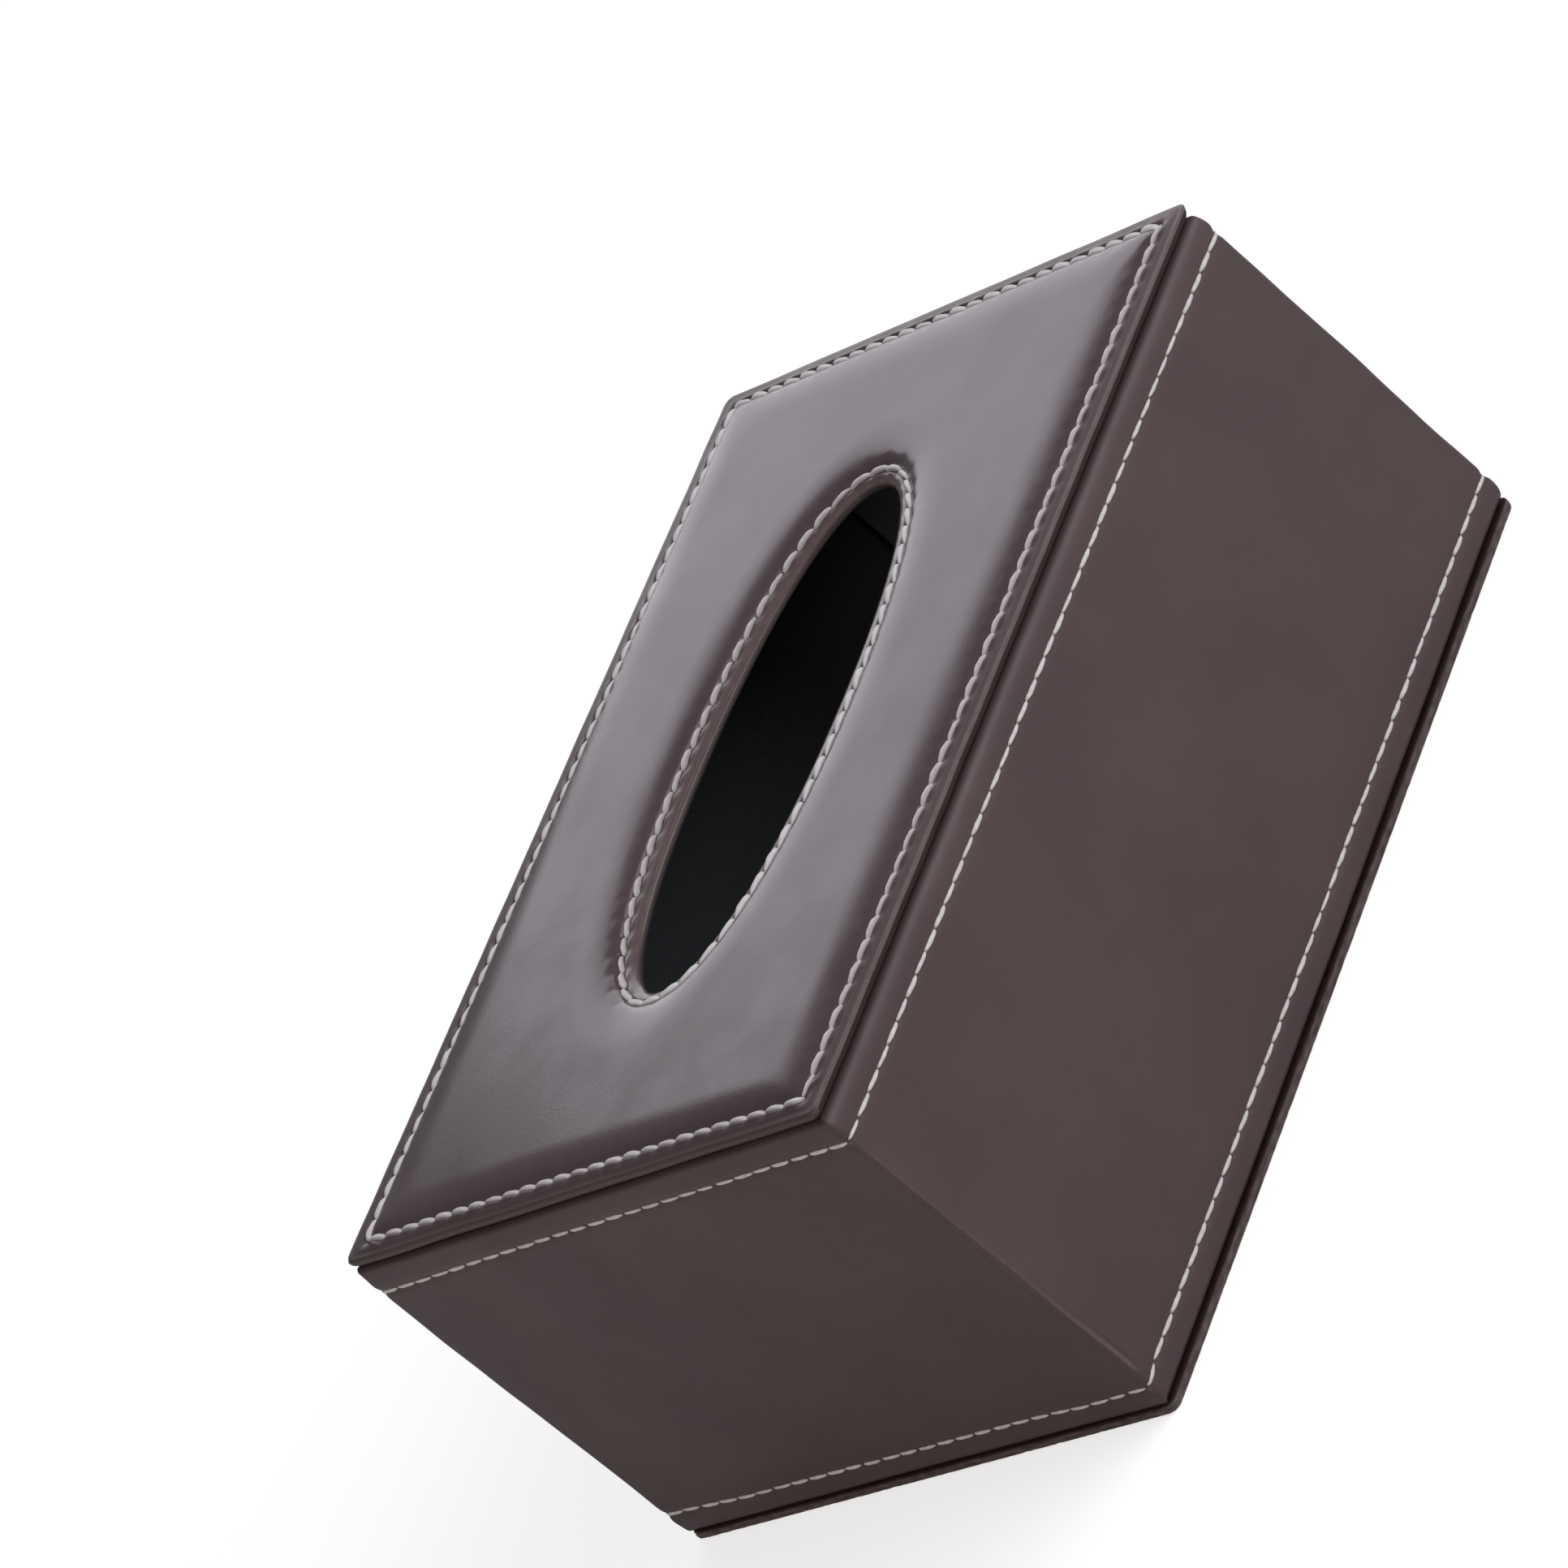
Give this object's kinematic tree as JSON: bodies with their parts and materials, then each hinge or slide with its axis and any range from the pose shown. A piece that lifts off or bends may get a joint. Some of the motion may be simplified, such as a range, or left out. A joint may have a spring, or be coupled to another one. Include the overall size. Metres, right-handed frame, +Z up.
{
  "type": "tissue box cover",
  "caption": "Rectangular leather covered box for a pack of tissues, with a padded stitched top, an oval dispensing mouth and a hinged magnetic base flap.",
  "frame": {"origin": "middle of the footprint, on the underside of the base flap", "axes": "+X along the length, +Y towards the back wall that carries the hinge, +Z up"},
  "size_m": [0.24, 0.152, 0.1072],
  "materials": {
    "leather": "smooth semi-gloss dark brown with fine grain",
    "thread": "pale grey waxed sewing thread",
    "fibreboard": "raw medium density fibreboard",
    "foam": "thin open cell padding",
    "lining": "black brushed lining cloth",
    "magnet": "nickel plated",
    "steel_plate": "plain rolled steel"
  },
  "bodies": {
    "cover": {"front_board": "fibreboard", "back_board": "fibreboard", "left_board": "fibreboard", "right_board": "fibreboard", "wall_skin": "leather", "top_board": "fibreboard", "top_pad": "foam", "top_skin": "leather", "mouth_facing": "leather", "top_lining": "lining", "front_lining": "lining", "back_lining": "lining", "left_lining": "lining", "right_lining": "lining", "wall_magnets": "magnet", "hinge_wall_leaf": "leather"},
    "flap": {"flap_board": "fibreboard", "flap_skin": "leather", "flap_lining": "lining", "flap_plates": "steel_plate", "hinge_flap_leaf": "leather"}
  },
  "joints": [
    {"name": "flap_hinge", "type": "hinge", "parent": "cover", "child": "flap", "pos_m": [0, 0.076, 0.0027], "axis": [1, 0, 0], "range_deg": [0, 170]}
  ]
}
